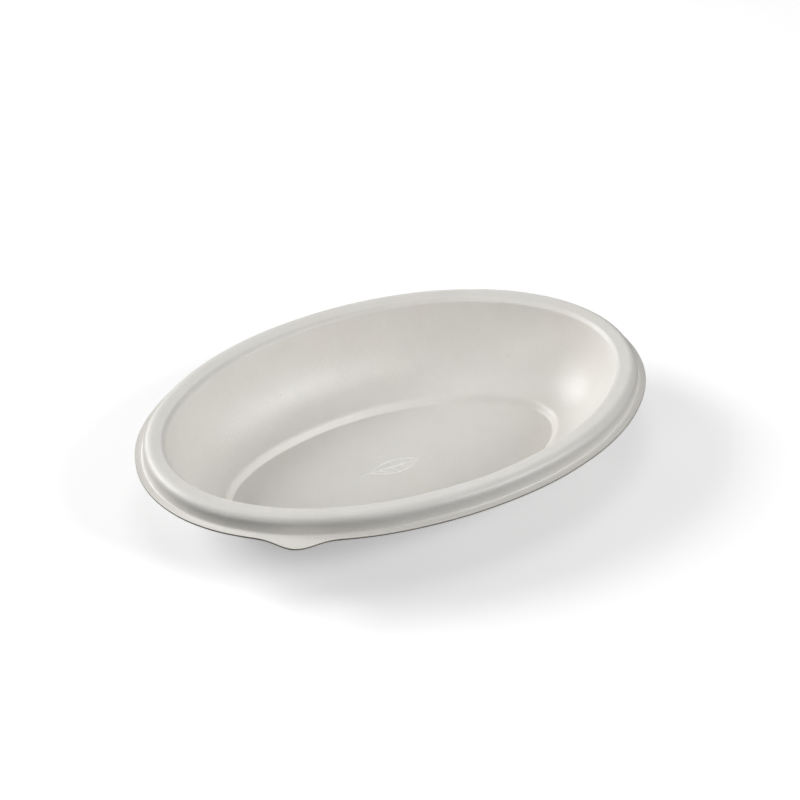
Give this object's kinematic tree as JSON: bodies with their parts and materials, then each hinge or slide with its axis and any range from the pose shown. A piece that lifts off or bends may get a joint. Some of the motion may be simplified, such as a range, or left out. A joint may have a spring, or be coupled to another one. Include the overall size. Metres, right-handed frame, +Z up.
{
  "type": "oval dish",
  "caption": "Shallow oval moulded-pulp dish with a flat stepped foot, a concave wall, a raised rim bead, a narrow lid flange and a pull tab.",
  "frame": {"origin": "centre of the oval on the underside of the floor, where the dish stands", "axes": "+X along the oval's long axis, +Y across it, +Z up out of the bowl; the pull tab is in the -X -Y quarter"},
  "size_m": [0.23, 0.15, 0.0394],
  "materials": {
    "pulp": "hot-pressed sugar-cane pulp, fine grain, slight sheen",
    "pulp_cut_edge": "hot-pressed sugar-cane pulp with a die-cut edge"
  },
  "bodies": {
    "root": {"floor_panel": "pulp", "foot_step": "pulp", "bowl_wall": "pulp", "rim_bead": "pulp", "lid_flange": "pulp_cut_edge", "pull_tab": "pulp_cut_edge", "embossed_leaf": "pulp"}
  },
  "joints": []
}
